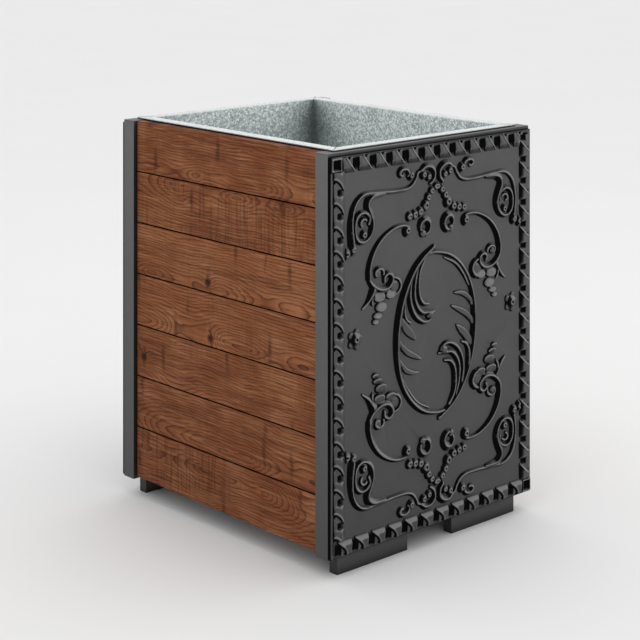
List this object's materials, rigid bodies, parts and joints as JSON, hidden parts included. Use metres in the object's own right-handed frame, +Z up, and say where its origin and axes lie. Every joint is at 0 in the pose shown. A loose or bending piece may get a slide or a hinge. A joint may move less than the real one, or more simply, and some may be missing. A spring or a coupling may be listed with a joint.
{
  "type": "planter box",
  "caption": "Tall rectangular street planter with boarded sides, ornamental cast end plates, a steel frame on block feet and a lift-out sheet metal liner.",
  "frame": {"origin": "on the ground under the middle of the box", "axes": "+Z up, the front cast plate faces -Y, the boarded sides face -X and +X"},
  "size_m": [0.598, 0.7052, 0.8445],
  "materials": {
    "frame_steel": "satin charcoal paint",
    "foot_steel": "satin charcoal paint",
    "cast_iron": "painted casting, satin charcoal",
    "stained_wood": "stained sawn boards",
    "galvanised_sheet": "hot-dip galvanised, spangled",
    "zinc_bolts": "zinc plated",
    "rubber": "matte black rubber"
  },
  "bodies": {
    "frame": {"post_front_left": "frame_steel", "post_front_right": "frame_steel", "post_back_left": "frame_steel", "post_back_right": "frame_steel", "cap_front_left": "frame_steel", "cap_front_right": "frame_steel", "cap_back_left": "frame_steel", "cap_back_right": "frame_steel", "rail_top_front": "frame_steel", "rail_top_back": "frame_steel", "rail_top_left": "frame_steel", "rail_top_right": "frame_steel", "rail_bottom_front": "frame_steel", "rail_bottom_back": "frame_steel", "rail_bottom_left": "frame_steel", "rail_bottom_right": "frame_steel", "bearer_1": "frame_steel", "bearer_2": "frame_steel", "bearer_3": "frame_steel", "bearer_4": "frame_steel", "cleat_left_1": "frame_steel", "cleat_left_2": "frame_steel", "cleat_left_3": "frame_steel", "cleat_right_1": "frame_steel", "cleat_right_2": "frame_steel", "cleat_right_3": "frame_steel", "board_left_1": "stained_wood", "board_left_2": "stained_wood", "board_left_3": "stained_wood", "board_left_4": "stained_wood", "board_left_5": "stained_wood", "board_left_6": "stained_wood", "board_left_7": "stained_wood", "board_right_1": "stained_wood", "board_right_2": "stained_wood", "board_right_3": "stained_wood", "board_right_4": "stained_wood", "board_right_5": "stained_wood", "board_right_6": "stained_wood", "board_right_7": "stained_wood", "foot_front_left": "foot_steel", "foot_front_right": "foot_steel", "foot_back_left": "foot_steel", "foot_back_right": "foot_steel", "cast_plate_front": "cast_iron", "cast_plate_back": "cast_iron", "plate_bolts_front": "zinc_bolts", "plate_bolts_back": "zinc_bolts", "board_screws_left": "zinc_bolts", "board_screws_right": "zinc_bolts", "foot_bolts": "zinc_bolts", "foot_nuts": "zinc_bolts", "post_plugs": "rubber", "liner_pads": "rubber"},
    "liner": {"liner": "galvanised_sheet"}
  },
  "joints": [
    {"name": "liner_lift", "type": "slide", "parent": "frame", "child": "liner", "axis": [0, 0, 1], "range_m": [0, 0.76]}
  ]
}
